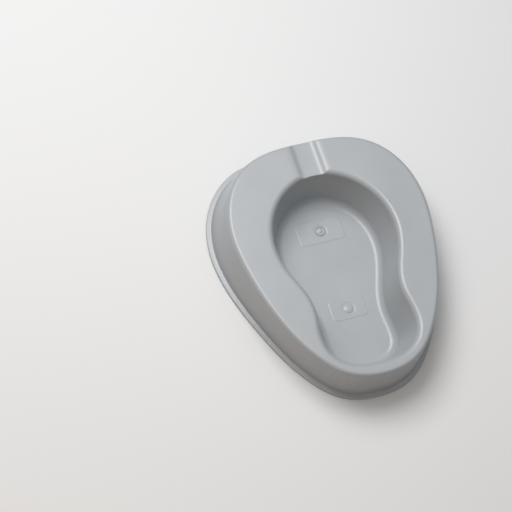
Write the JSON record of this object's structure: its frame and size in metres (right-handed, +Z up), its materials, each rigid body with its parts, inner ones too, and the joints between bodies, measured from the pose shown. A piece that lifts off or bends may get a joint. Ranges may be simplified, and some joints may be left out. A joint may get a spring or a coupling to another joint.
{
  "type": "bedpan",
  "caption": "Nestable adult bedpan: keyhole basin in a wide flat seat, pouring channel at the wide end, leaning skirt and a flat foot flange.",
  "frame": {"origin": "centre of the footprint, on the resting face of the foot flange", "axes": "+X across the pan, +Y along it towards the wide end with the pouring channel, +Z up from the resting face to the seat"},
  "size_m": [0.3002, 0.3562, 0.064],
  "materials": {
    "grey_polypropylene": "satin, moulded"
  },
  "bodies": {
    "root": {"seat_deck": "grey_polypropylene", "pouring_channel": "grey_polypropylene", "outer_skirt": "grey_polypropylene", "base_flange": "grey_polypropylene", "basin_wall": "grey_polypropylene", "basin_floor": "grey_polypropylene", "upper_gate_mark": "grey_polypropylene", "lower_gate_mark": "grey_polypropylene", "upper_label_panel": "grey_polypropylene", "lower_label_panel": "grey_polypropylene"}
  },
  "joints": []
}
